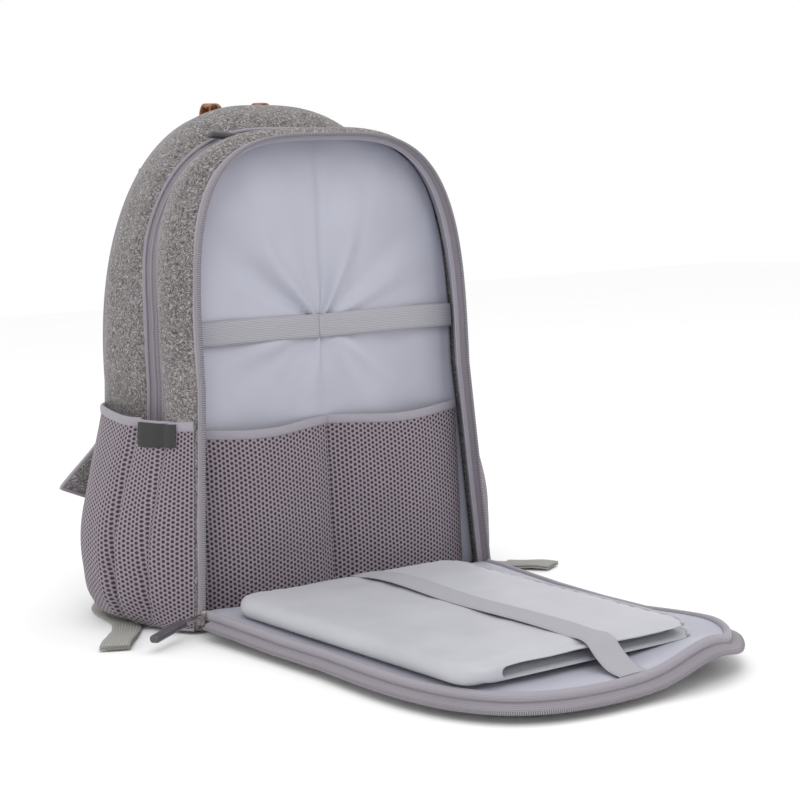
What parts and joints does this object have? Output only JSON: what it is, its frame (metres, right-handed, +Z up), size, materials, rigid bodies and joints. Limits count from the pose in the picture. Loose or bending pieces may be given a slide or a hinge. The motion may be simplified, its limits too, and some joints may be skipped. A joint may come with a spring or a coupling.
{
  "type": "nappy changing rucksack",
  "caption": "Felt changing rucksack, front flap open: mesh pockets, elastic loops, folding mat, zips, padded straps and a leather handle.",
  "frame": {"origin": "centre of the base's underside, where the bag stands", "axes": "+X to the right seen from the front, +Y towards the back and the shoulder straps, +Z up"},
  "size_m": [0.4622, 0.6307, 0.451],
  "materials": {
    "felt": "heathered wool felt",
    "spacer_mesh": "knitted spacer mesh with open cells",
    "lining": "smooth nylon lining with a soft sheen",
    "binding": "woven binding tape",
    "zip_tape": "ribbed zip tape",
    "zip_coil": "nylon coil",
    "elastic": "ribbed elastic",
    "webbing": "ribbed webbing",
    "leather": "smooth tan leather",
    "nickel": "polished dark nickel",
    "pull_rubber": "smooth glossy moulded rubber",
    "buckle_plastic": "moulded",
    "board": "stiff sheet",
    "foam": "soft foam",
    "mat_cover": "wipe-clean padded nylon",
    "mat_trim": "woven binding tape",
    "tag_fabric": "woven, blank"
  },
  "bodies": {
    "bag": {"back_board": "board", "back_pad": "spacer_mesh", "back_panel": "felt", "base_board": "board", "base_panel": "felt", "divider_panel": "lining", "elastic_band": "elastic", "elastic_bartack": "elastic", "front_gusset": "felt", "front_lining": "lining", "front_rim_binding": "binding", "front_zip_coil": "zip_coil", "front_zip_tape": "zip_tape", "handle_hinge_loops": "nickel", "handle_rivets": "nickel", "handle_tabs": "leather", "inner_pocket_binding_left": "binding", "inner_pocket_binding_right": "binding", "inner_pocket_left": "spacer_mesh", "inner_pocket_right": "spacer_mesh", "main_lining": "lining", "main_zip_coils": "zip_coil", "main_zip_tapes": "zip_tape", "rear_gusset": "felt", "side_pocket_binding_left": "binding", "side_pocket_binding_right": "binding", "side_pocket_left": "spacer_mesh", "side_pocket_right": "spacer_mesh", "side_seams": "felt", "side_tag": "tag_fabric", "strap_anchors": "felt", "strap_tail_left": "webbing", "strap_tail_right": "webbing", "strap_webbing_left": "webbing", "strap_webbing_right": "webbing", "webbing_anchors": "felt"},
    "flap": {"flap_felt": "felt", "flap_foam": "foam", "flap_lining": "lining", "flap_binding": "binding", "flap_zip_tape": "zip_tape", "flap_zip_coil": "zip_coil", "flap_hinge_strip": "felt", "mat_elastic": "elastic"},
    "changing_mat": {"mat_pad": "mat_cover", "mat_binding": "mat_trim"},
    "front_slider": {"front_slider": "nickel"},
    "front_pull": {"front_pull_link": "nickel", "front_pull_grip": "pull_rubber"},
    "main_slider_left": {"main_left_slider": "nickel"},
    "main_pull_left": {"main_left_pull_link": "nickel", "main_left_pull_grip": "pull_rubber"},
    "main_slider_right": {"main_right_slider": "nickel"},
    "main_pull_right": {"main_right_pull_link": "nickel", "main_right_pull_grip": "pull_rubber"},
    "handle": {"carry_handle": "leather"},
    "strap_left": {"strap_pad_left": "felt", "strap_adjuster_left": "buckle_plastic"},
    "strap_right": {"strap_pad_right": "felt", "strap_adjuster_right": "buckle_plastic"}
  },
  "joints": [
    {"name": "flap_hinge", "type": "hinge", "parent": "bag", "child": "flap", "pos_m": [0, -0.095, 0.024], "axis": [-1, 0, 0], "range_deg": [0, 90]},
    {"name": "mat_slide", "type": "slide", "parent": "flap", "child": "changing_mat", "axis": [1, 0, 0], "range_m": [-0.24, 0]},
    {"name": "front_slider_travel", "type": "slide", "parent": "bag", "child": "front_slider", "axis": [0.07, 0, 0.9975], "range_m": [0, 0.165]},
    {"name": "front_pull_swing", "type": "hinge", "parent": "front_slider", "child": "front_pull", "pos_m": [-0.15045, -0.0944, 0.01733], "axis": [0, 1, 0], "range_deg": [-70, 75]},
    {"name": "main_slider_left_travel", "type": "slide", "parent": "bag", "child": "main_slider_left", "axis": [-0.9991, 0, -0.0419], "range_m": [0, 0.04]},
    {"name": "main_pull_left_swing", "type": "hinge", "parent": "main_slider_left", "child": "main_pull_left", "pos_m": [-0.00925, -0.001, 0.41549], "axis": [0, 1, 0], "range_deg": [0, 80]},
    {"name": "main_slider_right_travel", "type": "slide", "parent": "bag", "child": "main_slider_right", "axis": [0.9991, 0, -0.0419], "range_m": [0, 0.04]},
    {"name": "main_pull_right_swing", "type": "hinge", "parent": "main_slider_right", "child": "main_pull_right", "pos_m": [0.00925, -0.001, 0.41549], "axis": [0, -1, 0], "range_deg": [0, 80]},
    {"name": "handle_swing", "type": "hinge", "parent": "bag", "child": "handle", "pos_m": [0, 0.0992, 0.441], "axis": [1, 0, 0], "range_deg": [0, 165]},
    {"name": "strap_left_swing", "type": "hinge", "parent": "bag", "child": "strap_left", "pos_m": [0, 0.0991, 0.3955], "axis": [1, 0, 0], "range_deg": [0, 25]},
    {"name": "strap_right_swing", "type": "hinge", "parent": "bag", "child": "strap_right", "pos_m": [0, 0.0991, 0.3955], "axis": [1, 0, 0], "range_deg": [0, 25]}
  ]
}
